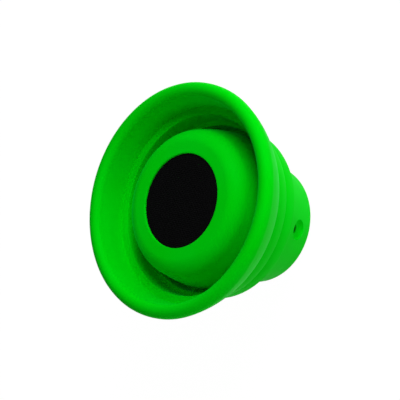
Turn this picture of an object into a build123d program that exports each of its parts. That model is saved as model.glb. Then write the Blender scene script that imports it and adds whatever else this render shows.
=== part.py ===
"""Shower speaker: a waterproof speaker pod inside a collapsible silicone horn, with a suction cup behind.

Units are millimetres. +Z points out of the horn's mouth, and z = 0 is the plane of the suction cup's lip.
The charging jack faces -Y and the three buttons face +Y.
"""

from build123d import *
from math import atan2, cos, radians, sin, sqrt
import os

os.makedirs("parts", exist_ok=True)

# ---- driving dimensions -------------------------------------------------------------------------

# horn: three nested silicone rings that slide over each other, joined by thin webs
ridge_z = 28.8         # lowest ridge, where the horn leaves the body
ridge_pitch = 8.2      # height from one ridge to the next
ring_overlap = 4.2     # how far each ring's top stands up inside the next ring
neck_step = 0.9        # collar of the sleeve under the horn, outside the pod's side
ring_gap = 0.3         # slack between two nested rings
ridge_wall = 1.2       # wall of a ring at its ridge
top_wall = 1.3         # wall of a ring at its top
rear_flare = 0.6       # how much wider a ring is at its top than at its ridge
middle_flare = 1.2
ring_bulge = 0.35      # how far a ring's side swells outwards half way up
ledge_width = 1.6      # ledge inside the rim ring
flank_flare = 4.0      # outer flank of the rim ring half way down, beyond its ridge
flank_rise = 5.4       # and its height above the ridge
lip_flare = 5.0        # centre circle of the rolled lip, beyond the ridge
lip_rise = 14.7
lip_bead_r = 2.9       # radius of the roll itself
lip_drop = 1.0         # straight side under the roll
web_t = 0.6
web_gap = 0.1          # slack round the edges of a web

# silicone sleeve over the pod and the body
back_z = 3.5           # flat back of the body
body_draw = 6.3        # how much narrower the body is at its back than at its top
back_edge_r = 1.6
body_step = 2.1        # body's top inside the pod's widest part
neck_chamfer = 1.0
pod_margin = 13.0      # widest part of the pod, beyond the driver's edge
pod_side_draw = 0.8    # how far its side draws in half way up
pod_side_z = 44.0
pod_shoulder_draw = 2.4
pod_face_inset = 6.2   # from the shoulder to the flat front face
pod_round_inset = 1.7  # middle of the rounding between them
pod_round_drop = 2.4
pod_shoulder_drop = 6.4
face_z = 58.0          # front face of the pod
grille_inset = 0.6     # opening round the grille, inside the driver's edge
sleeve_wall = 2.6
sleeve_lip_t = 0.9     # silicone over the grille's edge
rear_opening_edge = 3.0  # silicone left round the opening behind

# housings
fit_gap = 0.1          # slack between the sleeve and the housings
housing_wall = 1.8
split_z = 26.0         # where the two housings screw together
spigot_wall = 1.3
spigot_depth = 3.6
seal_r = 0.6
floor_z = 7.5          # inside floor of the rear housing
shelf_z = 32.0         # partition between the battery and the driver
shelf_t = 1.6

# driver
driver_r = 20.0
driver_gap = 0.3
flange_t = 1.0
flange_width = 1.9
basket_wall = 0.8
basket_draw = 4.9      # base of the basket inside its rim
basket_windows = 4
window_length = 10.0
window_width = 8.0
magnet_inset = 6.0     # inside the driver's edge
magnet_t = 4.4
plate_t = 1.6
yoke_t = 2.4
yoke_gap = 0.4         # air under the yoke
coil_r = 6.5
coil_wall = 0.5
coil_height = 6.0
coil_rise = 3.2        # voice coil above the top plate
air_gap = 0.4          # air each side of the coil
cone_inset = 4.2
cone_t = 0.5
cone_gap = 0.7         # room left over the cone at full travel
roll_r = 0.9           # roll of the surround
surround_t = 0.4
spider_t = 0.5
spider_rise = 1.4
cap_rise = 2.0         # dome of the dust cap
excursion = 0.8        # cone travel each way
guard_t = 1.2
guard_overlap = 1.0    # guard ring over the driver's edge
guard_rib = 1.4
guard_ring_r = 10.0
guard_spokes = 6
mesh_t = 0.4
mesh_rise = 0.5
gasket_t = 0.8
gasket_width = 1.0

# electronics
board_gap = 0.7
board_t = 1.2
board_z = 10.3
board_screw_inset = 2.6   # from the board's edge
board_screw_angle = 17.5  # degrees from the X axis
board_screw_r = 1.0
screw_head_r = 1.9
screw_head_t = 1.2
boss_r = 2.2
battery_length = 30.0
battery_width = 28.0
battery_t = 5.6
battery_edge_r = 1.5
battery_pad_t = 0.6
battery_pad_inset = 3.0
module_length = 13.0
module_width = 10.0
module_t = 2.0
module_edge_r = 0.6
module_inset = 5.6     # from the board's edge
amplifier_side = 7.0
amplifier_t = 1.2
amplifier_inset = 11.6
capacitor_r = 2.5
capacitor_height = 5.4
capacitor_pitch = 6.0
jack_z = 14.3
jack_bore_r = 1.8
jack_bore_length = 12.0
jack_width = 6.4
jack_length = 13.0
jack_collar_r = 2.6
jack_hole_gap = 0.2
dish_r = 4.4
dish_depth = 2.0
dish_edge_r = 0.4

# buttons, on the side opposite the jack
button_r = 3.2
button_gap = 0.3
button_spread = 22.0   # degrees between two buttons
button_z = 13.4
button_rise = 1.0
button_edge_r = 0.6
button_depth = 2.0
button_travel = 0.5
stem_r = 1.6
stem_gap = 0.3
switch_side = 5.0
switch_t = 2.2
switch_gap = 0.5
flex_t = 0.6
flex_height = 8.0
flex_angle = 66.0
led_r = 0.8
led_rise = 0.1
led_gap = 0.05

# suction cup
cup_r = 20.0
cup_lip_width = 3.5
cup_lip_t = 0.8
cup_wall = 1.3
cup_rise = 3.1         # underside's height in the middle
cup_hub_r = 4.2
cup_stem_r = 3.0
cup_groove_depth = 0.6
cup_groove_t = 1.2
cup_head_t = 1.5
cup_gap = 0.1

# ---- derived sizes ------------------------------------------------------------------------------

rear_z = ridge_z
middle_z = ridge_z + ridge_pitch
rim_z = ridge_z + 2 * ridge_pitch
neck_top_z = rear_z + ring_overlap
rear_top_z = middle_z + ring_overlap
middle_top_z = rim_z + ring_overlap

pod_r = driver_r + pod_margin
body_top_r = pod_r - body_step
back_r = body_top_r - body_draw
rear_opening_r = back_r - rear_opening_edge
grille_r = driver_r - grille_inset
basket_rim_r = driver_r - flange_width
basket_base_r = basket_rim_r - basket_draw
magnet_r = driver_r - magnet_inset
cone_r = driver_r - cone_inset

neck_r = pod_r + neck_step
rear_hoop_r = neck_r + ring_gap
rear_ridge_r = rear_hoop_r + ridge_wall
rear_top_r = rear_ridge_r + rear_flare
middle_hoop_r = rear_top_r + ring_gap
middle_ridge_r = middle_hoop_r + ridge_wall
middle_top_r = middle_ridge_r + middle_flare
rim_hoop_r = middle_top_r + ring_gap
rim_ridge_r = rim_hoop_r + ridge_wall
ledge_r = rim_hoop_r + ledge_width
flank_r = rim_ridge_r + flank_flare
flank_z = rim_z + flank_rise
lip_r = rim_ridge_r + lip_flare
lip_z = rim_z + lip_rise

pod_side_r = pod_r - pod_side_draw
pod_shoulder_r = pod_r - pod_shoulder_draw
pod_shoulder_z = face_z - pod_shoulder_drop
pod_round_r = pod_shoulder_r - pod_round_inset
pod_round_z = face_z - pod_round_drop
pod_face_r = pod_shoulder_r - pod_face_inset

taper = (body_top_r - back_r) / (rear_z - back_z)
taper_angle = atan2(taper, 1.0)

mesh_z = face_z - sleeve_lip_t - mesh_t
guard_z = mesh_z - guard_t
gasket_z = guard_z - gasket_t
flange_z = gasket_z - flange_t
yoke_z = shelf_z + shelf_t + yoke_gap
magnet_z = yoke_z + yoke_t
plate_z = magnet_z + magnet_t
plate_top_z = plate_z + plate_t
coil_top_z = plate_top_z + coil_rise
cone_top_z = guard_z - excursion - cone_gap
guard_r = driver_r + guard_overlap
board_top_z = board_z + board_t


def body_radius(z):
    """Outer radius of the tapered body at height z."""
    return back_r + taper * (z - back_z)


def side_points(inset):
    """Side of the cavity under the sleeve, from back to front, moved inwards by inset."""
    return [
        (body_radius(back_z + sleeve_wall) - sleeve_wall - inset, back_z + sleeve_wall),
        (body_radius(rear_z) - sleeve_wall - inset, rear_z),
        (pod_r - sleeve_wall - inset, neck_top_z),
        (pod_side_r - sleeve_wall - inset, pod_side_z),
        (pod_shoulder_r - sleeve_wall - inset, pod_shoulder_z),
        (pod_face_r - inset, face_z - sleeve_lip_t),
    ]


def side_radius(inset, z):
    """Radius of that side at height z, on its tapered rear part."""
    return body_radius(z) - sleeve_wall - inset


def outline(*points):
    """Closed outline of (radius, height) points, for turning about Z."""
    with BuildSketch(Plane.XZ) as shape:
        with BuildLine():
            Polyline(*points, close=True)
        make_face()
    return shape.sketch


def dome_height(edge_r, rise, r):
    """Height at radius r of a round dome that rises by rise above its edge."""
    ball_r = (edge_r**2 + rise**2) / (2 * rise)
    return sqrt(ball_r**2 - r**2) - ball_r + rise


def surface_plane(azimuth, z, depth=0.0):
    """Plane on the body's side at an azimuth in degrees, facing outwards, sunk by depth."""
    a = radians(azimuth)
    normal = Vector(cos(a) * cos(taper_angle), sin(a) * cos(taper_angle), -sin(taper_angle))
    point = Vector(body_radius(z) * cos(a), body_radius(z) * sin(a), z) - normal * depth
    return Plane(origin=point, x_dir=(-sin(a), cos(a), 0), z_dir=normal)


button_azimuths = {
    "minus_button": 90 + button_spread,
    "play_button": 90,
    "plus_button": 90 - button_spread,
}
led_azimuth = 90 - button_spread / 2
switch_depth = sleeve_wall + fit_gap + housing_wall + switch_gap
cut_depth = sleeve_wall + fit_gap      # reach of a cut through the sleeve, each way from its surface
flex_depth = switch_depth + switch_t

# ---- horn rings ---------------------------------------------------------------------------------

with BuildPart() as rim_tier:
    with BuildSketch(Plane.XZ):
        with BuildLine():
            Polyline(
                (lip_r - lip_bead_r, lip_z),
                (ledge_r, middle_top_z - web_t),
                (rim_hoop_r, middle_top_z - web_t),
                (rim_hoop_r, rim_z),
                (rim_ridge_r, rim_z),
            )
            ThreePointArc((rim_ridge_r, rim_z), (flank_r, flank_z), (lip_r + lip_bead_r, lip_z - lip_drop))
            Line((lip_r + lip_bead_r, lip_z - lip_drop), (lip_r + lip_bead_r, lip_z))
            ThreePointArc((lip_r + lip_bead_r, lip_z), (lip_r, lip_z + lip_bead_r), (lip_r - lip_bead_r, lip_z))
        make_face()
    revolve(axis=Axis.Z)
rim_tier.part.label = "rim_tier"
export_step(rim_tier.part, "parts/rim_tier.step")

with BuildPart() as middle_tier:
    with BuildSketch(Plane.XZ):
        with BuildLine():
            Polyline(
                (middle_ridge_r, middle_z),
                (middle_hoop_r, middle_z),
                (middle_top_r - top_wall, middle_top_z - web_t),
                (middle_top_r, middle_top_z - web_t),
                (middle_top_r, rim_z),
            )
            ThreePointArc(
                (middle_top_r, rim_z),
                ((middle_top_r + middle_ridge_r) / 2 + ring_bulge, (middle_z + rim_z) / 2),
                (middle_ridge_r, middle_z),
            )
        make_face()
    revolve(axis=Axis.Z)
middle_tier.part.label = "middle_tier"
export_step(middle_tier.part, "parts/middle_tier.step")

with BuildPart() as rear_tier:
    with BuildSketch(Plane.XZ):
        with BuildLine():
            Polyline(
                (rear_ridge_r, rear_z),
                (rear_hoop_r, rear_z),
                (rear_top_r - top_wall, rear_top_z - web_t),
                (rear_top_r, rear_top_z - web_t),
                (rear_top_r, middle_z),
            )
            ThreePointArc(
                (rear_top_r, middle_z),
                ((rear_top_r + rear_ridge_r) / 2 + ring_bulge, (rear_z + middle_z) / 2),
                (rear_ridge_r, rear_z),
            )
        make_face()
    revolve(axis=Axis.Z)
rear_tier.part.label = "rear_tier"
export_step(rear_tier.part, "parts/rear_tier.step")


def inner_wall_radius(hoop_r, top_r, low_z, high_z, z):
    """Inside radius of a ring's wall at height z."""
    return hoop_r + (top_r - top_wall - hoop_r) * (z - low_z) / (high_z - web_t - low_z)


# thin webs that fold when a ring slides; each bridges one ring's top and the next ring's wall
with BuildPart() as rim_web:
    revolve(
        outline(
            (middle_top_r - top_wall, middle_top_z - web_t),
            (ledge_r - web_gap, middle_top_z - web_t),
            (ledge_r - web_gap, middle_top_z),
            (middle_top_r - top_wall, middle_top_z),
        ),
        axis=Axis.Z,
    )
rim_web.part.label = "rim_web"
export_step(rim_web.part, "parts/rim_web.step")

middle_web_r = inner_wall_radius(middle_hoop_r, middle_top_r, middle_z, middle_top_z, rear_top_z - web_t)
with BuildPart() as middle_web:
    revolve(
        outline(
            (rear_top_r - top_wall, rear_top_z - web_t),
            (middle_web_r - web_gap, rear_top_z - web_t),
            (middle_web_r - web_gap, rear_top_z),
            (rear_top_r - top_wall, rear_top_z),
        ),
        axis=Axis.Z,
    )
middle_web.part.label = "middle_web"
export_step(middle_web.part, "parts/middle_web.step")

rear_web_r = inner_wall_radius(rear_hoop_r, rear_top_r, rear_z, rear_top_z, neck_top_z - web_t)
with BuildPart() as rear_web:
    revolve(
        outline(
            (pod_r + web_gap, neck_top_z - web_t),
            (rear_web_r - web_gap, neck_top_z - web_t),
            (rear_web_r - web_gap, neck_top_z),
            (pod_r + web_gap, neck_top_z),
        ),
        axis=Axis.Z,
    )
rear_web.part.label = "rear_web"
export_step(rear_web.part, "parts/rear_web.step")

# ---- silicone sleeve ----------------------------------------------------------------------------

with BuildPart() as sleeve:
    with BuildSketch(Plane.XZ):
        with BuildLine():
            Polyline(
                (grille_r, face_z),
                (grille_r, face_z - sleeve_lip_t),
                *reversed(side_points(0.0)),
                (rear_opening_r, back_z + sleeve_wall),
                (rear_opening_r, back_z),
                (back_r, back_z),
                (body_top_r - taper * neck_chamfer, rear_z - neck_chamfer),
                (neck_r, rear_z),
                (neck_r, neck_top_z - web_t),
                (pod_r, neck_top_z - web_t),
                (pod_r, neck_top_z),
            )
            ThreePointArc((pod_r, neck_top_z), (pod_side_r, pod_side_z), (pod_shoulder_r, pod_shoulder_z))
            ThreePointArc((pod_shoulder_r, pod_shoulder_z), (pod_round_r, pod_round_z), (pod_face_r, face_z))
            Line((pod_face_r, face_z), (grille_r, face_z))
        make_face()
    revolve(axis=Axis.Z)
    back_edge = sleeve.edges().filter_by(GeomType.CIRCLE).group_by(Axis.Z)[0].sort_by(SortBy.RADIUS)[-1]
    fillet(back_edge, radius=back_edge_r)
    # dished seat for the plug, and the hole behind it
    with BuildSketch(surface_plane(-90, jack_z, depth=dish_depth)):
        Circle(dish_r)
    extrude(amount=dish_depth + dish_r, mode=Mode.SUBTRACT)
    dish_edges = sleeve.edges(Select.LAST).sort_by(Axis.Y)
    fillet(dish_edges[0], radius=dish_edge_r)
    with BuildSketch(Plane(origin=(0, 0, jack_z), z_dir=(0, -1, 0))):
        Circle(jack_bore_r + jack_hole_gap)
    extrude(amount=body_top_r, mode=Mode.SUBTRACT)
    # holes for the buttons and the indicator
    for azimuth in button_azimuths.values():
        with BuildSketch(surface_plane(azimuth, button_z)):
            Circle(button_r + button_gap)
        extrude(amount=cut_depth, both=True, mode=Mode.SUBTRACT)
    with BuildSketch(surface_plane(led_azimuth, button_z)):
        Circle(led_r + led_gap)
    extrude(amount=cut_depth, both=True, mode=Mode.SUBTRACT)
sleeve.part.label = "sleeve"
export_step(sleeve.part, "parts/sleeve.step")

# ---- housings -----------------------------------------------------------------------------------

outer = fit_gap
inner = fit_gap + housing_wall
split_outer_r = side_radius(outer, split_z)
spigot_outer_r = side_radius(inner, split_z - spigot_depth) - fit_gap
seal_z = split_z - spigot_depth - seal_r

board_r = side_radius(inner, board_z) - board_gap
board_screw_places = [
    Vector(board_r - board_screw_inset, 0).rotate(Axis.Z, angle)
    for angle in (
        board_screw_angle,
        -board_screw_angle,
        180 + board_screw_angle,
        180 - board_screw_angle,
    )
]

with BuildPart() as rear_housing:
    revolve(
        outline(
            (0, back_z),
            (rear_opening_r - fit_gap, back_z),
            (rear_opening_r - fit_gap, back_z + sleeve_wall + fit_gap),
            (side_radius(outer, back_z + sleeve_wall + fit_gap), back_z + sleeve_wall + fit_gap),
            (split_outer_r, split_z),
            (side_radius(inner, split_z), split_z),
            (side_radius(inner, floor_z), floor_z),
            (0, floor_z),
        ),
        axis=Axis.Z,
    )
    # seat for the suction cup, with the throat that its stem snaps into
    cup_seat_r = cup_r - cup_lip_width - cup_gap
    cup_top_z = cup_rise + cup_wall
    revolve(
        outline(
            (0, back_z),
            (cup_seat_r, back_z),
            (cup_hub_r + cup_gap, cup_top_z + cup_gap),
            (0, cup_top_z + cup_gap),
        ),
        axis=Axis.Z,
        mode=Mode.SUBTRACT,
    )
    throat_z = floor_z - cup_groove_t
    revolve(
        outline(
            (0, back_z),
            (cup_stem_r + cup_gap, back_z),
            (cup_stem_r + cup_gap, throat_z),
            (cup_stem_r - cup_groove_depth + cup_gap, throat_z),
            (cup_stem_r - cup_groove_depth + cup_gap, floor_z),
            (0, floor_z),
        ),
        axis=Axis.Z,
        mode=Mode.SUBTRACT,
    )
    # bosses under the main board
    with BuildSketch(Plane.XY.offset(floor_z)):
        with Locations(*board_screw_places):
            Circle(boss_r)
            Circle(board_screw_r, mode=Mode.SUBTRACT)
    extrude(amount=board_z - floor_z)
    # way out for the jack's collar, the button stems and the indicator
    with BuildSketch(Plane(origin=(0, 0, jack_z), z_dir=(0, -1, 0))):
        Circle(jack_collar_r + jack_hole_gap)
    extrude(amount=body_top_r, mode=Mode.SUBTRACT)
    for azimuth in button_azimuths.values():
        with BuildSketch(surface_plane(azimuth, button_z, depth=switch_depth)):
            Circle(stem_r + stem_gap)
        extrude(amount=switch_depth, mode=Mode.SUBTRACT)
    with BuildSketch(surface_plane(led_azimuth, button_z, depth=switch_depth)):
        Circle(led_r + led_gap)
    extrude(amount=switch_depth, mode=Mode.SUBTRACT)
rear_housing.part.label = "rear_housing"
export_step(rear_housing.part, "parts/rear_housing.step")

with BuildPart() as front_housing:
    front_side = [p for p in side_points(outer) if p[1] > rear_z]
    front_inside = [p for p in side_points(inner) if rear_z < p[1] < pod_shoulder_z]
    revolve(
        outline(
            (split_outer_r, split_z),
            (side_radius(outer, rear_z), rear_z),
            *front_side,
            (guard_r + fit_gap, face_z - sleeve_lip_t),
            (guard_r + fit_gap, guard_z),
            (driver_r + driver_gap, guard_z),
            (driver_r + driver_gap, flange_z),
            (driver_r - flange_width / 2, flange_z),
            (driver_r - flange_width / 2, flange_z - housing_wall),
            *reversed(front_inside),
            (side_radius(inner, rear_z), rear_z),
            (spigot_outer_r - spigot_wall, split_z + spigot_wall),
            (spigot_outer_r - spigot_wall, split_z - spigot_depth),
            (spigot_outer_r, split_z - spigot_depth),
            (spigot_outer_r, split_z),
        ),
        axis=Axis.Z,
    )
    # shelf that parts the battery from the driver
    with BuildSketch(Plane.XY.offset(shelf_z)):
        Circle(side_points(inner)[2][0] + housing_wall / 2)
        with Locations((0, magnet_r + boss_r * 2)):
            Circle(boss_r, mode=Mode.SUBTRACT)
    extrude(amount=shelf_t)
front_housing.part.label = "front_housing"
export_step(front_housing.part, "parts/front_housing.step")

with BuildPart() as housing_seal:
    with BuildSketch(Plane.XZ):
        with Locations((side_radius(inner, seal_z - seal_r) - seal_r, seal_z)):
            Circle(seal_r)
    revolve(axis=Axis.Z)
housing_seal.part.label = "housing_seal"
export_step(housing_seal.part, "parts/housing_seal.step")

# ---- grille -------------------------------------------------------------------------------------

with BuildPart() as grille_mesh:
    with BuildSketch(Plane.XZ):
        with BuildLine():
            mesh_half_z = mesh_z + dome_height(grille_r, mesh_rise, grille_r / 2)
            ThreePointArc((0, mesh_z + mesh_rise), (grille_r / 2, mesh_half_z), (grille_r, mesh_z))
            Polyline((grille_r, mesh_z), (guard_r, mesh_z), (guard_r, mesh_z + mesh_t), (grille_r, mesh_z + mesh_t))
            ThreePointArc(
                (grille_r, mesh_z + mesh_t),
                (grille_r / 2, mesh_half_z + mesh_t),
                (0, mesh_z + mesh_t + mesh_rise),
            )
            Line((0, mesh_z + mesh_t + mesh_rise), (0, mesh_z + mesh_rise))
        make_face()
    revolve(axis=Axis.Z)
grille_mesh.part.label = "grille_mesh"
export_step(grille_mesh.part, "parts/grille_mesh.step")

with BuildPart() as grille_guard:
    with BuildSketch(Plane.XY.offset(guard_z)):
        Circle(guard_r)
        Circle(driver_r - flange_width, mode=Mode.SUBTRACT)
        Circle(guard_ring_r)
        Circle(guard_ring_r - guard_rib, mode=Mode.SUBTRACT)
        with PolarLocations((driver_r + guard_ring_r - flange_width) / 2, guard_spokes):
            Rectangle(driver_r - flange_width - guard_ring_r + guard_rib, guard_rib)
    extrude(amount=guard_t)
grille_guard.part.label = "grille_guard"
export_step(grille_guard.part, "parts/grille_guard.step")

with BuildPart() as driver_gasket:
    with BuildSketch(Plane.XY.offset(gasket_z)):
        Circle(driver_r)
        Circle(driver_r - gasket_width, mode=Mode.SUBTRACT)
    extrude(amount=gasket_t)
driver_gasket.part.label = "driver_gasket"
export_step(driver_gasket.part, "parts/driver_gasket.step")

# ---- driver -------------------------------------------------------------------------------------

with BuildPart() as driver_basket:
    revolve(
        outline(
            (basket_rim_r, flange_z + flange_t),
            (driver_r, flange_z + flange_t),
            (driver_r, flange_z),
            (basket_rim_r + basket_wall, flange_z),
            (basket_base_r + basket_wall, plate_top_z),
            (coil_r + coil_wall + 2 * air_gap, plate_top_z),
            (coil_r + coil_wall + 2 * air_gap, plate_top_z + basket_wall),
            (basket_base_r, plate_top_z + basket_wall),
        ),
        axis=Axis.Z,
    )
    window_height = (flange_z - plate_top_z) / 2
    with BuildSketch(Plane.XY.offset(plate_top_z + window_height / 2)):
        with PolarLocations(driver_r, basket_windows):
            SlotCenterToCenter(window_length, window_width, rotation=90)
    extrude(amount=window_height, mode=Mode.SUBTRACT)
driver_basket.part.label = "driver_basket"
export_step(driver_basket.part, "parts/driver_basket.step")

with BuildPart() as driver_yoke:
    with BuildSketch(Plane.XY.offset(yoke_z)):
        Circle(magnet_r)
    extrude(amount=yoke_t)
    with BuildSketch(Plane.XY.offset(magnet_z)):
        Circle(coil_r - air_gap)
    extrude(amount=plate_top_z - magnet_z)
driver_yoke.part.label = "driver_yoke"
export_step(driver_yoke.part, "parts/driver_yoke.step")

with BuildPart() as driver_magnet:
    with BuildSketch(Plane.XY.offset(magnet_z)):
        Circle(magnet_r)
        Circle(coil_r + coil_wall + 3 * air_gap, mode=Mode.SUBTRACT)
    extrude(amount=magnet_t)
driver_magnet.part.label = "driver_magnet"
export_step(driver_magnet.part, "parts/driver_magnet.step")

with BuildPart() as driver_plate:
    with BuildSketch(Plane.XY.offset(plate_z)):
        Circle(magnet_r)
        Circle(coil_r + coil_wall + air_gap, mode=Mode.SUBTRACT)
    extrude(amount=plate_t)
driver_plate.part.label = "driver_plate"
export_step(driver_plate.part, "parts/driver_plate.step")

with BuildPart() as voice_coil:
    with BuildSketch(Plane.XY.offset(coil_top_z)):
        Circle(coil_r + coil_wall)
        Circle(coil_r, mode=Mode.SUBTRACT)
    extrude(amount=-coil_height)
voice_coil.part.label = "voice_coil"
export_step(voice_coil.part, "parts/voice_coil.step")

with BuildPart() as driver_cone:
    revolve(
        outline(
            (coil_r, coil_top_z),
            (coil_r + coil_wall, coil_top_z),
            (cone_r, cone_top_z - cone_t),
            (cone_r, cone_top_z),
            (coil_r, coil_top_z + cone_t),
        ),
        axis=Axis.Z,
    )
driver_cone.part.label = "driver_cone"
export_step(driver_cone.part, "parts/driver_cone.step")

with BuildPart() as dust_cap:
    with BuildSketch(Plane.XZ):
        with BuildLine():
            cap_z = coil_top_z + cone_t
            half_z = cap_z + dome_height(coil_r, cap_rise, coil_r / 2)
            ThreePointArc((0, cap_z + cap_rise), (coil_r / 2, half_z), (coil_r, cap_z))
            Line((coil_r, cap_z), (coil_r, cap_z + cone_t))
            ThreePointArc((coil_r, cap_z + cone_t), (coil_r / 2, half_z + cone_t), (0, cap_z + cap_rise + cone_t))
            Line((0, cap_z + cap_rise + cone_t), (0, cap_z + cap_rise))
        make_face()
    revolve(axis=Axis.Z)
dust_cap.part.label = "dust_cap"
export_step(dust_cap.part, "parts/dust_cap.step")

with BuildPart() as surround:
    with BuildSketch(Plane.XZ):
        roll_x = cone_r + surround_t + roll_r
        with BuildLine():
            ThreePointArc((roll_x - roll_r, gasket_z), (roll_x, gasket_z - roll_r), (roll_x + roll_r, gasket_z))
            Polyline(
                (roll_x + roll_r, gasket_z),
                (driver_r - gasket_width, gasket_z),
                (driver_r - gasket_width, gasket_z + surround_t),
                (roll_x + roll_r - surround_t, gasket_z + surround_t),
                (roll_x + roll_r - surround_t, gasket_z),
            )
            ThreePointArc(
                (roll_x + roll_r - surround_t, gasket_z),
                (roll_x, gasket_z - roll_r + surround_t),
                (roll_x - roll_r + surround_t, gasket_z),
            )
            Line((roll_x - roll_r + surround_t, gasket_z), (roll_x - roll_r, gasket_z))
        make_face()
    revolve(axis=Axis.Z)
surround.part.label = "surround"
export_step(surround.part, "parts/surround.step")

with BuildPart() as spider:
    spider_z = plate_top_z + basket_wall
    spider_inner_r = coil_r + coil_wall + air_gap / 4
    revolve(
        outline(
            (spider_inner_r, spider_z + spider_rise - spider_t),
            (basket_base_r - 2 * spider_t, spider_z),
            (basket_base_r - spider_t, spider_z),
            (basket_base_r - spider_t, spider_z + spider_t),
            (spider_inner_r, spider_z + spider_rise),
        ),
        axis=Axis.Z,
    )
spider.part.label = "spider"
export_step(spider.part, "parts/spider.step")

# ---- electronics --------------------------------------------------------------------------------

flex_back_r = body_radius(board_z) - (flex_depth + flex_t) / cos(taper_angle)
board_flat_y = flex_back_r * cos(radians(flex_angle / 2)) - board_gap

with BuildPart() as main_board:
    with BuildSketch(Plane.XY.offset(board_z)):
        Circle(board_r)
        with Locations((0, board_flat_y)):
            Rectangle(2 * board_r, board_r, align=(Align.CENTER, Align.MIN), mode=Mode.SUBTRACT)
        with Locations(*board_screw_places):
            Circle(board_screw_r, mode=Mode.SUBTRACT)
    extrude(amount=board_t)
main_board.part.label = "main_board"
export_step(main_board.part, "parts/main_board.step")

with BuildPart() as board_screws:
    with BuildSketch(Plane.XY.offset(board_top_z)):
        with Locations(*board_screw_places):
            Circle(screw_head_r)
    extrude(amount=screw_head_t)
    with BuildSketch(Plane.XY.offset(board_top_z)):
        with Locations(*board_screw_places):
            Circle(board_screw_r - cup_gap)
    extrude(amount=floor_z + board_t - board_z)
board_screws.part.label = "board_screws"
export_step(board_screws.part, "parts/board_screws.step")

with BuildPart() as bluetooth_module:
    with BuildSketch(Plane.XY.offset(board_top_z)):
        with Locations((module_inset + module_length / 2 - board_r, 0)):
            RectangleRounded(module_length, module_width, module_edge_r)
    extrude(amount=module_t)
bluetooth_module.part.label = "bluetooth_module"
export_step(bluetooth_module.part, "parts/bluetooth_module.step")

with BuildPart() as amplifier:
    with BuildSketch(Plane.XY.offset(board_top_z)):
        with Locations((board_r - amplifier_inset - amplifier_side / 2, 0)):
            Rectangle(amplifier_side, amplifier_side)
    extrude(amount=amplifier_t)
amplifier.part.label = "amplifier"
export_step(amplifier.part, "parts/amplifier.step")

with BuildPart() as capacitors:
    with BuildSketch(Plane.XY.offset(board_top_z)):
        with Locations((0, board_flat_y - capacitor_pitch)):
            with GridLocations(capacitor_pitch, capacitor_pitch, 3, 1):
                Circle(capacitor_r)
    extrude(amount=capacitor_height)
capacitors.part.label = "capacitors"
export_step(capacitors.part, "parts/capacitors.step")

battery_z = shelf_z - battery_pad_t - battery_t
with BuildPart() as battery:
    with BuildSketch(Plane.XY.offset(battery_z)):
        RectangleRounded(battery_length, battery_width, battery_edge_r)
    extrude(amount=battery_t)
    fillet(battery.faces().sort_by(Axis.Z)[0].edges(), radius=battery_edge_r - fit_gap)
battery.part.label = "battery"
export_step(battery.part, "parts/battery.step")

with BuildPart() as battery_pad:
    with BuildSketch(Plane.XY.offset(shelf_z - battery_pad_t)):
        Rectangle(battery_length - 2 * battery_pad_inset, battery_width - 2 * battery_pad_inset)
    extrude(amount=battery_pad_t)
battery_pad.part.label = "battery_pad"
export_step(battery_pad.part, "parts/battery_pad.step")

jack_face_y = side_radius(inner, board_top_z) - board_gap
collar_end_y = side_radius(fit_gap, jack_z - jack_collar_r)
with BuildPart() as charge_jack:
    with BuildSketch(Plane(origin=(0, -jack_face_y, jack_z), x_dir=(1, 0, 0), z_dir=(0, 1, 0))):
        Rectangle(jack_width, 2 * (jack_z - board_top_z))
    extrude(amount=jack_length)
    with BuildSketch(Plane(origin=(0, -jack_face_y, jack_z), z_dir=(0, -1, 0))):
        Circle(jack_collar_r)
    extrude(amount=collar_end_y - jack_face_y)
    with BuildSketch(Plane(origin=(0, -collar_end_y, jack_z), z_dir=(0, 1, 0))):
        Circle(jack_bore_r)
    extrude(amount=jack_bore_length, mode=Mode.SUBTRACT)
charge_jack.part.label = "charge_jack"
export_step(charge_jack.part, "parts/charge_jack.step")

# ---- buttons ------------------------------------------------------------------------------------

flex_start = radians(90 - flex_angle / 2)
flex_plane = Plane(
    origin=(0, 0, 0),
    x_dir=(cos(flex_start), sin(flex_start), 0),
    z_dir=(sin(flex_start), -cos(flex_start), 0),
)
with BuildPart() as flex_board:
    low_z = button_z - flex_height / 2
    high_z = button_z + flex_height / 2
    with BuildSketch(flex_plane):
        with BuildLine():
            Polyline(
                (body_radius(low_z) - flex_depth / cos(taper_angle), low_z),
                (body_radius(high_z) - flex_depth / cos(taper_angle), high_z),
                (body_radius(high_z) - (flex_depth + flex_t) / cos(taper_angle), high_z),
                (body_radius(low_z) - (flex_depth + flex_t) / cos(taper_angle), low_z),
                close=True,
            )
        make_face()
    revolve(axis=Axis.Z, revolution_arc=flex_angle)
flex_board.part.label = "flex_board"
export_step(flex_board.part, "parts/flex_board.step")

with BuildPart() as tact_switches:
    for azimuth in button_azimuths.values():
        with BuildSketch(surface_plane(azimuth, button_z, depth=switch_depth)):
            Rectangle(switch_side, switch_side)
        extrude(amount=-switch_t + flex_t)
        with BuildSketch(surface_plane(azimuth, button_z, depth=switch_depth)):
            Circle(stem_r + stem_gap)
        extrude(amount=-button_travel * 2, mode=Mode.SUBTRACT)
tact_switches.part.label = "tact_switches"
export_step(tact_switches.part, "parts/tact_switches.step")

for name, azimuth in button_azimuths.items():
    with BuildPart() as button:
        with BuildSketch(surface_plane(azimuth, button_z, depth=button_depth)):
            Circle(button_r)
        extrude(amount=button_depth + button_rise)
        fillet(button.edges().filter_by(GeomType.CIRCLE).sort_by_distance((0, 0, button_z))[-1], radius=button_edge_r)
        with BuildSketch(surface_plane(azimuth, button_z, depth=button_depth)):
            Circle(stem_r)
        extrude(amount=button_depth - switch_depth - button_travel / 2)
    button.part.label = name
    export_step(button.part, f"parts/{name}.step")

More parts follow.
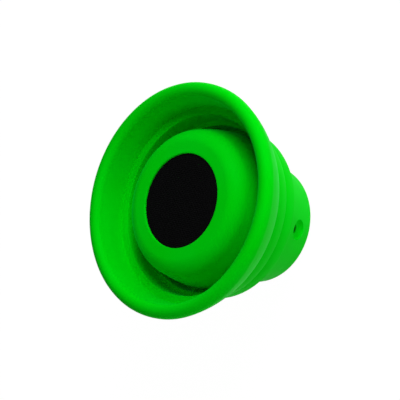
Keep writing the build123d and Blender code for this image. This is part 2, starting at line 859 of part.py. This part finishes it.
with BuildPart() as led_lens:
    with BuildSketch(surface_plane(led_azimuth, button_z, depth=-led_rise)):
        Circle(led_r)
    extrude(amount=-led_rise - switch_depth)
led_lens.part.label = "led_lens"
export_step(led_lens.part, "parts/led_lens.step")

# ---- suction cup --------------------------------------------------------------------------------

with BuildPart() as suction_cup:
    stem_top_z = floor_z + cup_head_t
    revolve(
        outline(
            (cup_r - cup_lip_width, 0),
            (cup_r, 0),
            (cup_r, cup_lip_t),
            (cup_r - cup_lip_width, cup_lip_t + cup_wall / 2),
            (cup_hub_r, cup_rise + cup_wall),
            (cup_stem_r, cup_rise + cup_wall),
            (cup_stem_r, throat_z),
            (cup_stem_r - cup_groove_depth, throat_z),
            (cup_stem_r - cup_groove_depth, floor_z),
            (cup_stem_r + cup_gap, floor_z),
            (cup_stem_r - cup_groove_depth, stem_top_z),
            (0, stem_top_z),
            (0, cup_rise),
            (cup_hub_r, cup_rise - cup_gap),
        ),
        axis=Axis.Z,
    )
suction_cup.part.label = "suction_cup"
export_step(suction_cup.part, "parts/suction_cup.step")
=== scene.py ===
import math

import bmesh
import bpy
from mathutils import Matrix, Vector


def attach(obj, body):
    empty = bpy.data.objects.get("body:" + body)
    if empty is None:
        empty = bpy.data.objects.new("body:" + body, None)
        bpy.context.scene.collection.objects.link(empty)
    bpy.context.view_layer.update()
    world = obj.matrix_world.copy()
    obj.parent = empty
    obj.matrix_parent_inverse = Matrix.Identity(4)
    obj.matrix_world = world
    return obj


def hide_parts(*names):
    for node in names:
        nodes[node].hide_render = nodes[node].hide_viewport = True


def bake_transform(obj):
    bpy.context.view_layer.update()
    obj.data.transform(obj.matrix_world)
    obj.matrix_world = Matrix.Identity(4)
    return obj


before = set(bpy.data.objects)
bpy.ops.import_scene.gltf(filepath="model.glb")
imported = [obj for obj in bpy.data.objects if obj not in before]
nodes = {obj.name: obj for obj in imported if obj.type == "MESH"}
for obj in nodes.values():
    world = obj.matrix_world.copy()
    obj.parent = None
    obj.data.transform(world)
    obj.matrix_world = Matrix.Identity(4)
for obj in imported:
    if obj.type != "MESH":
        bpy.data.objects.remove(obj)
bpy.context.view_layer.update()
mm = 0.001
weld = 1e-7  # points closer than this many metres are one
print("frame loaded:", len(nodes), "nodes")


# a section is a list of corners (radius, height, rounding) in millimetres, drawn in the plane y = 0;
# a corner with five values is reached along an arc through its last two
def arcTo(bm, start, through, end, spacing):
    a, b, c = Vector((start.co.x, start.co.z)) / mm, Vector(through), Vector(end)
    d = 2 * (a.x * (b.y - c.y) + b.x * (c.y - a.y) + c.x * (a.y - b.y))
    sa, sb, sc = a.length_squared, b.length_squared, c.length_squared
    centre = Vector(
        (
            (sa * (b.y - c.y) + sb * (c.y - a.y) + sc * (a.y - b.y)) / d,
            (sa * (c.x - b.x) + sb * (a.x - c.x) + sc * (b.x - a.x)) / d,
        )
    )
    first, middle, last = a - centre, b - centre, c - centre
    turn = (middle.angle_signed(first) % math.tau) + (last.angle_signed(middle) % math.tau)
    if turn > math.tau:
        turn = -((-middle.angle_signed(first)) % math.tau) - ((-last.angle_signed(middle)) % math.tau)
    steps = max(3, round(abs(turn) * first.length / spacing))
    centre3 = Vector((centre.x, 0, centre.y)) * mm
    made, previous = [], start
    for _ in range(steps):
        spun = bmesh.ops.spin(
            bm,
            geom=[previous],
            cent=centre3,
            axis=(0, 1, 0),
            angle=-turn / steps,
            steps=1,
            use_duplicate=False,
        )
        previous = next(g for g in spun["geom_last"] if isinstance(g, bmesh.types.BMVert))
        made.append(previous)
    return made


def drawSection(section, spacing):
    bm = bmesh.new()
    corners = []
    for radius, height, rounding, *through in section:
        if through:
            made = arcTo(bm, corners[-1][0], through, (radius, height), spacing)
            corners += [(v, 0) for v in made[:-1]] + [(made[-1], rounding)]
        else:
            corners.append((bm.verts.new((radius * mm, 0, height * mm)), rounding))
    if (corners[0][0].co - corners[-1][0].co).length < weld:
        double = corners.pop()[0]
        neighbour = corners[-1][0]
        bm.verts.remove(double)
        if not bm.edges.get((neighbour, corners[0][0])):
            bm.edges.new((neighbour, corners[0][0]))
    bm.faces.new([v for v, _ in corners])
    for rounding in sorted({x for _, x in corners if x}):
        bmesh.ops.bevel(
            bm,
            geom=[v for v, x in corners if x == rounding],
            offset=rounding * mm,
            offset_type="OFFSET",
            segments=5,
            profile=0.5,
            affect="VERTICES",
            clamp_overlap=True,
            material=-1,
        )
    bmesh.ops.delete(bm, geom=bm.faces[:], context="FACES_ONLY")
    for edge in [e for e in bm.edges if e.calc_length() > spacing * mm]:
        bmesh.ops.subdivide_edges(bm, edges=[edge], cuts=int(edge.calc_length() / (spacing * mm)))
    return bm


def finishPiece(name, bm, material, smooth=True):
    bmesh.ops.remove_doubles(bm, verts=bm.verts, dist=weld)
    bmesh.ops.recalc_face_normals(bm, faces=bm.faces)
    for face in bm.faces:
        face.smooth = smooth
    mesh = bpy.data.meshes.new(name)
    bm.to_mesh(mesh)
    bm.free()
    piece = bpy.data.objects.new(name, mesh)
    bpy.context.scene.collection.objects.link(piece)
    mesh.materials.append(material)
    return piece


# turn a section once round the Z axis
def spinSection(bm, steps):
    bmesh.ops.spin(
        bm,
        geom=bm.verts[:] + bm.edges[:],
        cent=(0, 0, 0),
        axis=(0, 0, 1),
        angle=math.tau,
        steps=steps,
        use_merge=True,
        use_duplicate=False,
    )
    bmesh.ops.remove_doubles(bm, verts=bm.verts, dist=10 * weld)


def turned(name, section, material, spacing, steps):
    bm = drawSection(section, spacing)
    spinSection(bm, steps)
    return finishPiece(name, bm, material)


def applyModifiers(piece):
    graph = bpy.context.evaluated_depsgraph_get()
    mesh = bpy.data.meshes.new_from_object(piece.evaluated_get(graph))
    piece.modifiers.clear()
    piece.data = mesh
    return piece


def cutWith(piece, cutters):
    for cutter in cutters:
        cut = piece.modifiers.new("cut", "BOOLEAN")
        cut.object = cutter
        cut.operation = "DIFFERENCE"
        cut.solver = "EXACT"
    applyModifiers(piece)
    for cutter in cutters:
        bpy.data.objects.remove(cutter)
    return piece


# the slope of the body's side, and a frame that stands on it: z out of the side, y up along it
body = {"backHeight": 3.5, "backRadius": 24.6, "topHeight": 28.8, "topRadius": 30.9}
taper = math.atan2(body["topRadius"] - body["backRadius"], body["topHeight"] - body["backHeight"])


def bodyRadius(height):
    return body["backRadius"] + math.tan(taper) * (height - body["backHeight"])


def onSide(azimuth, height):
    a = math.radians(azimuth)
    out = Vector((math.cos(a) * math.cos(taper), math.sin(a) * math.cos(taper), -math.sin(taper)))
    across = Vector((-math.sin(a), math.cos(a), 0))
    up = out.cross(across)
    radius = bodyRadius(height)
    place = Vector((radius * math.cos(a), radius * math.sin(a), height)) * mm
    turn = Matrix((across, up, out)).transposed().to_4x4()
    return Matrix.Translation(place) @ turn


# grain that every finish shares: a fine noise for the surface and a soft cloud for its colour
def makeGrainGroup():
    group = bpy.data.node_groups.new("surfaceGrain", "ShaderNodeTree")
    for socket, default in (("Fine Scale", 3000.0), ("Cloud Scale", 60.0), ("Cloud Stretch", 1.0)):
        made = group.interface.new_socket(name=socket, in_out="INPUT", socket_type="NodeSocketFloat")
        made.default_value = default
    group.interface.new_socket(name="Cloud", in_out="OUTPUT", socket_type="NodeSocketFloat")
    group.interface.new_socket(name="Fine", in_out="OUTPUT", socket_type="NodeSocketFloat")
    tree = group.nodes
    inputs, outputs = tree.new("NodeGroupInput"), tree.new("NodeGroupOutput")
    place = tree.new("ShaderNodeTexCoord")
    fine, cloud = tree.new("ShaderNodeTexNoise"), tree.new("ShaderNodeTexNoise")
    fine.inputs["Detail"].default_value = 3.0
    cloud.inputs["Detail"].default_value = 2.0
    fine.inputs["Roughness"].default_value = 0.6
    stretch = tree.new("ShaderNodeVectorMath")
    stretch.operation = "MULTIPLY"
    combine = tree.new("ShaderNodeCombineXYZ")
    combine.inputs["X"].default_value = 1.0
    combine.inputs["Y"].default_value = 1.0
    join = group.links.new
    join(inputs.outputs["Cloud Stretch"], combine.inputs["Z"])
    join(place.outputs["Object"], stretch.inputs[0])
    join(combine.outputs["Vector"], stretch.inputs[1])
    join(place.outputs["Object"], fine.inputs["Vector"])
    join(stretch.outputs["Vector"], cloud.inputs["Vector"])
    join(inputs.outputs["Fine Scale"], fine.inputs["Scale"])
    join(inputs.outputs["Cloud Scale"], cloud.inputs["Scale"])
    join(cloud.outputs["Fac"], outputs.inputs["Cloud"])
    join(fine.outputs["Fac"], outputs.inputs["Fine"])
    return group


grainGroup = makeGrainGroup()


def plainMaterial(name, look):
    material = bpy.data.materials.new(name)
    material.use_nodes = True
    tree = material.node_tree
    shader = tree.nodes["Principled BSDF"]
    grain = tree.nodes.new("ShaderNodeGroup")
    grain.node_tree = grainGroup
    grain.inputs["Fine Scale"].default_value = look.get("fineScale", 3000.0)
    grain.inputs["Cloud Scale"].default_value = look.get("cloudScale", 60.0)
    grain.inputs["Cloud Stretch"].default_value = look.get("cloudStretch", 1.0)
    mix = tree.nodes.new("ShaderNodeMix")
    mix.data_type = "RGBA"
    mix.inputs["A"].default_value = (*look["color"], 1)
    mix.inputs["B"].default_value = (*look["patch"], 1)
    rough = tree.nodes.new("ShaderNodeMapRange")
    rough.inputs["To Min"].default_value = look["roughness"][0]
    rough.inputs["To Max"].default_value = look["roughness"][1]
    bump = tree.nodes.new("ShaderNodeBump")
    bump.inputs["Strength"].default_value = look.get("bump", 0.15)
    bump.inputs["Distance"].default_value = look.get("bumpDepth", 0.00004)
    tree.links.new(grain.outputs["Cloud"], mix.inputs["Factor"])
    tree.links.new(grain.outputs["Fine"], rough.inputs["Value"])
    tree.links.new(grain.outputs["Fine"], bump.inputs["Height"])
    tree.links.new(rough.outputs["Result"], shader.inputs["Roughness"])
    tree.links.new(bump.outputs["Normal"], shader.inputs["Normal"])
    for socket, value in look.get("shader", {}).items():
        shader.inputs[socket].default_value = value
    tree.links.new(mix.outputs["Result"], shader.inputs["Base Color"])
    return material


silicone = {
    "color": (0.0, 0.60, 0.0),
    "patch": (0.0, 0.64, 0.006),
    "roughness": (0.42, 0.56),
    "fineScale": 2600.0,
    "cloudScale": 45.0,
    "bump": 0.12,
    "shader": {
        "Specular IOR Level": 0.015,
        "Specular Tint": (0.05, 1.0, 0.4, 1),
        "Sheen Weight": 0.25,
        "Sheen Roughness": 0.35,
        "Sheen Tint": (0.0, 1.0, 0.12, 1),
    },
}
looks = {
    "hornSilicone": silicone,
    "sleeveSilicone": {**silicone, "color": (0.0, 0.61, 0.0), "patch": (0.0, 0.65, 0.008)},
    "blackShell": {
        "color": (0.012, 0.012, 0.014),
        "patch": (0.02, 0.02, 0.022),
        "roughness": (0.45, 0.6),
        "fineScale": 1500.0,
        "bump": 0.35,
    },
    "cupRubber": {
        "color": (0.045, 0.047, 0.05),
        "patch": (0.06, 0.062, 0.066),
        "roughness": (0.25, 0.4),
        "bump": 0.05,
    },
    "boardGreen": {
        "color": (0.005, 0.06, 0.03),
        "patch": (0.01, 0.08, 0.04),
        "roughness": (0.3, 0.45),
        "bump": 0.1,
    },
    "chipBlack": {
        "color": (0.015, 0.015, 0.016),
        "patch": (0.03, 0.03, 0.03),
        "roughness": (0.4, 0.55),
        "bump": 0.2,
    },
    "softBlack": {
        "color": (0.003, 0.003, 0.003),
        "patch": (0.006, 0.006, 0.006),
        "roughness": (0.6, 0.8),
        "bump": 0.3,
        "shader": {"Specular IOR Level": 0.02},
    },
    "blackWeave": {
        "color": (0.0012, 0.0012, 0.0014),
        "patch": (0.0025, 0.0025, 0.0028),
        "roughness": (0.35, 0.6),
        "fineScale": 4000.0,
        "bump": 0.2,
        "shader": {"Specular IOR Level": 0.02},
    },
    "coneCloth": {
        "color": (0.012, 0.012, 0.013),
        "patch": (0.025, 0.025, 0.027),
        "roughness": (0.7, 0.85),
        "bump": 0.5,
    },
    "batteryFoil": {
        "color": (0.55, 0.56, 0.58),
        "patch": (0.62, 0.63, 0.65),
        "roughness": (0.25, 0.4),
        "bump": 0.2,
        "shader": {"Metallic": 1.0},
    },
    "steel": {
        "color": (0.50, 0.50, 0.51),
        "patch": (0.58, 0.58, 0.59),
        "roughness": (0.25, 0.4),
        "cloudStretch": 6.0,
        "shader": {"Metallic": 1.0},
    },
    "copperWire": {
        "color": (0.75, 0.30, 0.13),
        "patch": (0.85, 0.38, 0.18),
        "roughness": (0.25, 0.4),
        "shader": {"Metallic": 1.0},
    },
    "clearLens": {
        "color": (0.80, 0.86, 0.95),
        "patch": (0.88, 0.92, 1.0),
        "roughness": (0.08, 0.15),
        "bump": 0.02,
    },
}
materials = {name: plainMaterial(name, look) for name, look in looks.items()}
print("materials:", len(materials))

# three nested rings, and the thin webs between them
horn = {
    "rimSection": [
        (42.3, 59.9, 0),
        (40.6, 48.85, 0.25),
        (39.0, 48.85, 0.25),
        (39.0, 45.2, 0.3),
        (40.2, 45.2, 0.35),
        (48.1, 58.9, 0, 44.2, 50.6),
        (48.1, 59.9, 0),
        (42.3, 59.9, 0, 45.2, 62.8),
    ],
    "middleSection": [
        (37.5, 37.0, 0.35),
        (36.3, 37.0, 0.3),
        (37.4, 49.4, 0.35),
        (38.7, 49.4, 0.2),
        (38.7, 45.2, 0),
        (37.5, 37.0, 0.35, 38.45, 41.1),
    ],
    "rearSection": [
        (35.4, 28.8, 0.35),
        (34.2, 28.8, 0.3),
        (34.7, 41.2, 0.35),
        (36.0, 41.2, 0.2),
        (36.0, 37.0, 0),
        (35.4, 28.8, 0.35, 36.05, 32.9),
    ],
    "rimWeb": [(38.6, 49.1, 0), (38.6, 49.38, 0), (41.0, 49.3, 0), (41.0, 48.86, 0)],
    "middleWeb": [(35.9, 40.9, 0), (35.9, 41.18, 0), (37.1, 41.1, 0), (37.1, 40.6, 0)],
    "rearWeb": [(33.8, 32.7, 0), (33.8, 32.98, 0), (34.8, 32.9, 0), (34.8, 32.4, 0)],
    "spacing": 0.8,
    "webSpacing": 0.3,
    "steps": 224,
}


def buildHorn():
    green = materials["hornSilicone"]
    for name, section, body, node in (
        ("rimRing", "rimSection", "rim_ring", "rim_tier"),
        ("middleRing", "middleSection", "middle_ring", "middle_tier"),
        ("rearRing", "rearSection", "rear_ring", "rear_tier"),
    ):
        ring = turned(name, horn[section], green, horn["spacing"], horn["steps"])
        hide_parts(node)
        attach(ring, body)
    for name, section, inner, outer, node in (
        ("rimFold", "rimWeb", "middle_ring", "rim_ring", "rim_web"),
        ("middleFold", "middleWeb", "rear_ring", "middle_ring", "middle_web"),
        ("rearFold", "rearWeb", "body", "rear_ring", "rear_web"),
    ):
        web = turned(name, horn[section], green, horn["webSpacing"], horn["steps"])
        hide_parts(node)
        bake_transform(web)


buildHorn()
print("horn built")

# silicone sleeve over the pod and the body; dish and holes are turned cutters, with heights from the side
sleeve = {
    "section": [
        (19.4, 58.0, 0.3),
        (19.4, 57.1, 0),
        (24.4, 57.1, 0),
        (28.0, 51.6, 0),
        (29.6, 44.0, 0),
        (30.4, 33.0, 0),
        (28.3, 28.8, 0),
        (22.65, 6.1, 0),
        (21.6, 6.1, 0),
        (21.6, 3.5, 0.3),
        (24.6, 3.5, 1.3),
        (30.65, 27.8, 0.4),
        (33.9, 28.8, 0.2),
        (33.9, 33.0, 0.25),
        (33.0, 33.0, 0),
        (30.6, 51.6, 0, 32.2, 44.0),
        (24.4, 58.0, 0, 28.9, 55.6),
    ],
    "spacing": 0.9,
    "steps": 224,
    "jackHeight": 14.3,
    "jackAzimuth": -90.0,
    "buttonHeight": 13.4,
    "buttonAzimuths": {"minus_button": 112.0, "play_button": 90.0, "plus_button": 68.0},
    "ledAzimuth": 79.0,
    "dish": [
        (0.0, -2.0, 0),
        (3.9, -2.0, 0.9),
        (4.35, -0.5, 0),
        (4.4, 0.0, 0.3),
        (5.2, 0.6, 0),
        (5.2, 4.0, 0),
        (0.0, 4.0, 0),
    ],
    "hole": [
        (0.0, -6.0, 0),
        (2.0, -6.0, 0),
        (2.0, -2.05, 0.15),
        (2.5, -1.7, 0),
        (2.5, 0.5, 0),
        (0.0, 0.5, 0),
    ],
    "buttonHole": [
        (0.0, -4.0, 0),
        (3.5, -4.0, 0),
        (3.5, -0.3, 0),
        (3.6, 0.0, 0),
        (4.2, 0.5, 0),
        (4.2, 3.0, 0),
        (0.0, 3.0, 0),
    ],
    "ledHole": [(0.0, -4.0, 0), (0.85, -4.0, 0), (0.85, 2.0, 0), (0.0, 2.0, 0)],
    "cutterSpacing": 0.5,
    "holeSteps": 64,
    "ledHoleSteps": 24,
    "sharpAngle": 38.0,
}


def spunCutter(name, section, place, steps):
    bm = drawSection(section, sleeve["cutterSpacing"])
    spinSection(bm, steps)
    bmesh.ops.transform(bm, matrix=place, verts=bm.verts)
    return finishPiece(name, bm, materials["sleeveSilicone"])


def buildSleeve():
    green = materials["sleeveSilicone"]
    piece = turned("sleeveSkin", sleeve["section"], green, sleeve["spacing"], sleeve["steps"])
    jackPlace = onSide(sleeve["jackAzimuth"], sleeve["jackHeight"])
    ledPlace = onSide(sleeve["ledAzimuth"], sleeve["buttonHeight"])
    cutters = [
        spunCutter("dishCutter", sleeve["dish"], jackPlace, sleeve["holeSteps"]),
        spunCutter("holeCutter", sleeve["hole"], jackPlace, sleeve["holeSteps"]),
        spunCutter("ledCutter", sleeve["ledHole"], ledPlace, sleeve["ledHoleSteps"]),
    ]
    for azimuth in sleeve["buttonAzimuths"].values():
        buttonPlace = onSide(azimuth, sleeve["buttonHeight"])
        cutters.append(spunCutter("buttonCutter", sleeve["buttonHole"], buttonPlace, sleeve["holeSteps"]))
    cutWith(piece, cutters)
    piece.data.set_sharp_from_angle(angle=math.radians(sleeve["sharpAngle"]))
    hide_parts("sleeve")
    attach(piece, "body")


buildSleeve()
print("sleeve built")

# grille: a woven mesh over a black membrane
weave = {
    "radius": 19.75,
    "pitch": 0.8,
    "threadRadius": 0.2,
    "wave": 0.16,
    "height": 56.98,
    "rise": 0.3,
    "sides": 6,
    "bends": 4,  # steps of a thread from one crossing to the next
    "membrane": [
        (0.0, 56.55, 0),
        (19.6, 56.55, 0),
        (20.6, 56.55, 0),
        (20.6, 56.8, 0),
        (19.6, 56.8, 0),
        (0.0, 56.9, 0),
    ],
    "membraneSpacing": 1.2,
    "membraneSteps": 96,
}


def buildWeave():
    bm = bmesh.new()
    count = int(weave["radius"] / weave["pitch"])
    lay = [Matrix.Rotation(math.pi / 2, 4, "Y"), Matrix.Rotation(-math.pi / 2, 4, "X")]
    for way in range(2):  # threads along X, then threads along Y
        for index in range(-count, count + 1):
            offset = index * weave["pitch"]
            half = math.sqrt(weave["radius"] ** 2 - offset**2)
            cells = max(1, int(half / weave["pitch"]))
            length = 2 * cells * weave["pitch"]
            first = len(bm.verts)
            made = bmesh.ops.create_cone(
                bm,
                cap_ends=True,
                segments=weave["sides"],
                radius1=weave["threadRadius"] * mm,
                radius2=weave["threadRadius"] * mm,
                depth=length * mm,
            )
            edges = {e for v in made["verts"] for e in v.link_edges}
            along = [e for e in edges if e.calc_length() > length * mm * 0.9]
            bmesh.ops.subdivide_edges(bm, edges=along, cuts=weave["bends"] * cells - 1)
            bm.verts.ensure_lookup_table()
            verts = bm.verts[first:]
            shift = Vector((0, offset, 0)) * mm if way == 0 else Vector((offset, 0, 0)) * mm
            side = 1 if (index + way) % 2 == 0 else -1
            for v in verts:
                v.co = lay[way] @ v.co + shift
                run = v.co[way] / mm / weave["pitch"]
                v.co.z += side * weave["wave"] * mm * math.cos(math.pi * run)
    for v in bm.verts:
        share = (v.co.x**2 + v.co.y**2) / (weave["radius"] * mm) ** 2
        v.co.z += (weave["height"] + weave["rise"] * (1 - min(1.0, share))) * mm
    return bm


def buildGrille():
    mesh = finishPiece("grilleWeave", buildWeave(), materials["blackWeave"])
    backing = turned(
        "grilleMembrane",
        weave["membrane"],
        materials["softBlack"],
        weave["membraneSpacing"],
        weave["membraneSteps"],
    )
    for piece in (mesh, backing):
        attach(piece, "body")
    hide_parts("grille_mesh")


buildGrille()
print("grille built")

# buttons with raised signs; heights run out from the body's side
button = {
    "cap": [
        (0.0, -2.0, 0),
        (3.2, -2.0, 0),
        (3.2, 0.55, 0),
        (2.7, 0.95, 0, 3.08, 0.85),
        (0.0, 1.0, 0),
    ],
    "capSpacing": 0.35,
    "capSteps": 64,
    "top": 1.0,
    "signHeight": 0.16,
    "signSink": 0.1,  # depth of a sign's foot in the cap
    "signWidth": 0.5,
    "signLength": 2.2,
    "signRound": 0.07,
    "playPlace": -0.55,
    "playSize": 0.85,
    "playTaper": 0.86,
    "pausePlaces": (0.75, 1.45),
    "pauseWidth": 0.36,
    "pauseLength": 1.45,
    "sharpAngle": 40.0,
}


def addBar(bm, place, width, length, height):
    made = bmesh.ops.create_cube(bm, size=1.0)
    size = Matrix.Diagonal((width * mm, length * mm, height * mm, 1))
    bmesh.ops.transform(bm, matrix=place @ size, verts=made["verts"])
    bmesh.ops.bevel(
        bm,
        geom=list({e for v in made["verts"] for e in v.link_edges}),
        offset=button["signRound"] * mm,
        offset_type="OFFSET",
        segments=3,
        profile=0.5,
        affect="EDGES",
        clamp_overlap=True,
        material=-1,
    )


def addTriangle(bm, place, size, height):
    made = bmesh.ops.create_cone(
        bm,
        cap_ends=True,
        segments=3,
        radius1=size * mm,
        radius2=size * button["playTaper"] * mm,
        depth=height * mm,
    )
    bmesh.ops.transform(bm, matrix=place @ Matrix.Rotation(-math.pi / 2, 4, "Z"), verts=made["verts"])


def buildButtons():
    width, length = button["signWidth"], button["signLength"]
    height = button["signHeight"] + button["signSink"]
    top = Matrix.Translation((0, 0, (button["top"] + (button["signHeight"] - button["signSink"]) / 2) * mm))
    for node, azimuth in sleeve["buttonAzimuths"].items():
        name = node.replace("_button", "Button")
        place = onSide(azimuth, sleeve["buttonHeight"])
        bm = drawSection(button["cap"], button["capSpacing"])
        spinSection(bm, button["capSteps"])
        if node == "play_button":
            playPlace = top @ Matrix.Translation((button["playPlace"] * mm, 0, 0))
            addTriangle(bm, playPlace, button["playSize"], height)
            for x in button["pausePlaces"]:
                barPlace = top @ Matrix.Translation((x * mm, 0, 0))
                addBar(bm, barPlace, button["pauseWidth"], button["pauseLength"], height)
        else:
            addBar(bm, top, length, width, height)
            if node == "plus_button":
                addBar(bm, top, width, length, height)
        bmesh.ops.transform(bm, matrix=place, verts=bm.verts)
        cap = finishPiece(name, bm, materials["sleeveSilicone"])
        cap.data.set_sharp_from_angle(angle=math.radians(button["sharpAngle"]))
        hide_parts(node)
        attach(cap, node.replace("_button", ""))


buildButtons()
print("buttons built")

# suction cup behind, with the stem that snaps into the housing
cup = {
    "section": [
        (0.0, 3.1, 0),
        (4.2, 3.0, 0),
        (16.5, 0.02, 0, 10.6, 2.0),
        (20.0, 0.0, 0.15),
        (20.0, 0.8, 0.3),
        (16.5, 1.45, 0),
        (4.2, 4.4, 0, 10.4, 3.25),
        (3.0, 4.4, 0),
        (3.0, 6.3, 0),
        (2.4, 6.3, 0),
        (2.4, 7.5, 0),
        (3.1, 7.5, 0.2),
        (2.4, 9.0, 0.3),
        (0.0, 9.0, 0),
    ],
    "spacing": 0.6,
    "steps": 160,
    "sharpAngle": 50.0,
}


def buildCup():
    piece = turned("suctionCup", cup["section"], materials["cupRubber"], cup["spacing"], cup["steps"])
    piece.data.set_sharp_from_angle(angle=math.radians(cup["sharpAngle"]))
    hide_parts("suction_cup")
    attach(piece, "body")


buildCup()
print("suction cup built")

# inner parts keep their solids and get these finishes
finishes = {
    "blackShell": ["front_housing", "rear_housing", "grille_guard", "charge_jack"],
    "softBlack": ["housing_seal", "driver_gasket", "battery_pad", "surround"],
    "coneCloth": ["driver_cone", "dust_cap", "spider"],
    "steel": ["driver_basket", "driver_yoke", "driver_magnet", "driver_plate", "board_screws"],
    "copperWire": ["voice_coil"],
    "boardGreen": ["main_board", "flex_board"],
    "chipBlack": ["bluetooth_module", "amplifier", "capacitors", "tact_switches"],
    "batteryFoil": ["battery"],
    "clearLens": ["led_lens"],
}
for finish, names in finishes.items():
    for name in names:
        data = nodes[name].data
        data.materials.clear()
        data.materials.append(materials[finish])
print("CAD finishes set")

# floor and world: white to the camera and in reflections, while the floor keeps the shadow
stage = {
    "floorSize": 4.0,
    "floorHeight": -0.0004,
    "floorColor": 0.9,
    "whiteShare": 0.96,
    "whiteLight": 1.03,
    "worldLight": 0.05,
}


# 1 where the camera, a reflection or a clear part looks, and 0 for the light that falls on the object
def cameraOnly(tree):
    rays = tree.nodes.new("ShaderNodeLightPath")
    first = tree.nodes.new("ShaderNodeMath")
    first.operation = "MAXIMUM"
    second = tree.nodes.new("ShaderNodeMath")
    second.operation = "MAXIMUM"
    tree.links.new(rays.outputs["Is Camera Ray"], first.inputs[0])
    tree.links.new(rays.outputs["Is Glossy Ray"], first.inputs[1])
    tree.links.new(first.outputs[0], second.inputs[0])
    tree.links.new(rays.outputs["Is Transmission Ray"], second.inputs[1])
    return second.outputs[0]


def buildFloor():
    bm = bmesh.new()
    bmesh.ops.create_grid(bm, x_segments=1, y_segments=1, size=stage["floorSize"] / 2)
    bmesh.ops.translate(bm, verts=bm.verts, vec=(0, 0, stage["floorHeight"]))
    material = bpy.data.materials.new("paleFloor")
    material.use_nodes = True
    tree = material.node_tree
    tree.nodes.remove(tree.nodes["Principled BSDF"])
    matte = tree.nodes.new("ShaderNodeBsdfDiffuse")
    matte.inputs["Color"].default_value = (*[stage["floorColor"]] * 3, 1)
    white = tree.nodes.new("ShaderNodeEmission")
    white.inputs["Strength"].default_value = stage["whiteLight"]
    mix = tree.nodes.new("ShaderNodeMixShader")
    share = tree.nodes.new("ShaderNodeMath")
    share.operation = "MULTIPLY"
    share.inputs[1].default_value = stage["whiteShare"]
    tree.links.new(cameraOnly(tree), share.inputs[0])
    tree.links.new(share.outputs[0], mix.inputs["Fac"])
    tree.links.new(matte.outputs[0], mix.inputs[1])
    tree.links.new(white.outputs[0], mix.inputs[2])
    tree.links.new(mix.outputs[0], tree.nodes["Material Output"].inputs["Surface"])
    floor = finishPiece("floor", bm, material, smooth=False)


def buildWorld():
    world = bpy.data.worlds.new("studio")
    bpy.context.scene.world = world
    world.use_nodes = True
    tree = world.node_tree
    background = tree.nodes["Background"]
    level = tree.nodes.new("ShaderNodeMapRange")
    level.inputs["To Min"].default_value = stage["worldLight"]
    level.inputs["To Max"].default_value = 1.0
    tree.links.new(cameraOnly(tree), level.inputs["Value"])
    tree.links.new(level.outputs["Result"], background.inputs["Strength"])
    background.inputs["Color"].default_value = (1, 1, 1, 1)


# the camera looks down at the horn's mouth with +X at the top of the picture
view = {
    "theta": math.radians(43.0),
    "phi": math.radians(16.0),
    "around": math.radians(-3.4),
    "lens": 135.0,
    "face": Vector((0, 0, 58.0)) * mm,
    "seen": Vector((-7.92, -0.12, -600.0)) * mm,
}


def cameraTurn():
    t, p = view["theta"], view["phi"]
    return Matrix.Rotation(view["around"], 3, "Z") @ Matrix(
        (
            (math.sin(p), math.cos(p), 0),
            (-math.cos(t) * math.cos(p), math.cos(t) * math.sin(p), -math.sin(t)),
            (-math.sin(t) * math.cos(p), math.sin(t) * math.sin(p), math.cos(t)),
        )
    )


def buildCamera():
    turn = cameraTurn()
    data = bpy.data.cameras.new("camera")
    data.lens = view["lens"]
    data.sensor_width = 36.0
    camera = bpy.data.objects.new("camera", data)
    bpy.context.scene.collection.objects.link(camera)
    camera.matrix_world = Matrix.Translation(view["face"] - turn @ view["seen"]) @ turn.to_4x4()
    bpy.context.scene.camera = camera
    return turn


# lamp places are (right, up, towards the camera) as the camera sees them, in metres from the pod's face
lamps = {
    "topLamp": {"place": (0.0, 0.70, 0.25), "size": 0.3, "power": 2.0},
    "highFrontLamp": {"place": (0.0, 0.50, 0.60), "size": 0.3, "power": 3.3},
    "frontLamp": {"place": (0.0, 0.05, 0.90), "size": 0.3, "power": 0.8},
    "lowLamp": {"place": (0.0, -0.60, 0.50), "size": 0.3, "power": 1.3},
    "topRightLamp": {"place": (0.50, 0.50, 0.30), "size": 0.3, "power": 1.6},
    "sideLamp": {"place": (0.65, 0.10, -0.05), "size": 0.3, "power": 2.2},
}


def buildLamps(turn):
    for name, lamp in lamps.items():
        data = bpy.data.lights.new(name, "AREA")
        data.shape = "SQUARE"
        data.size = lamp["size"]
        data.energy = lamp["power"]
        light = bpy.data.objects.new(name, data)
        bpy.context.scene.collection.objects.link(light)
        offset = turn @ Vector(lamp["place"])
        aim = (-offset).to_track_quat("-Z", "Y").to_matrix().to_4x4()
        light.matrix_world = Matrix.Translation(view["face"] + offset) @ aim


buildFloor()
buildWorld()
buildLamps(buildCamera())
bpy.context.scene.view_settings.view_transform = "Standard"
print("stage set")
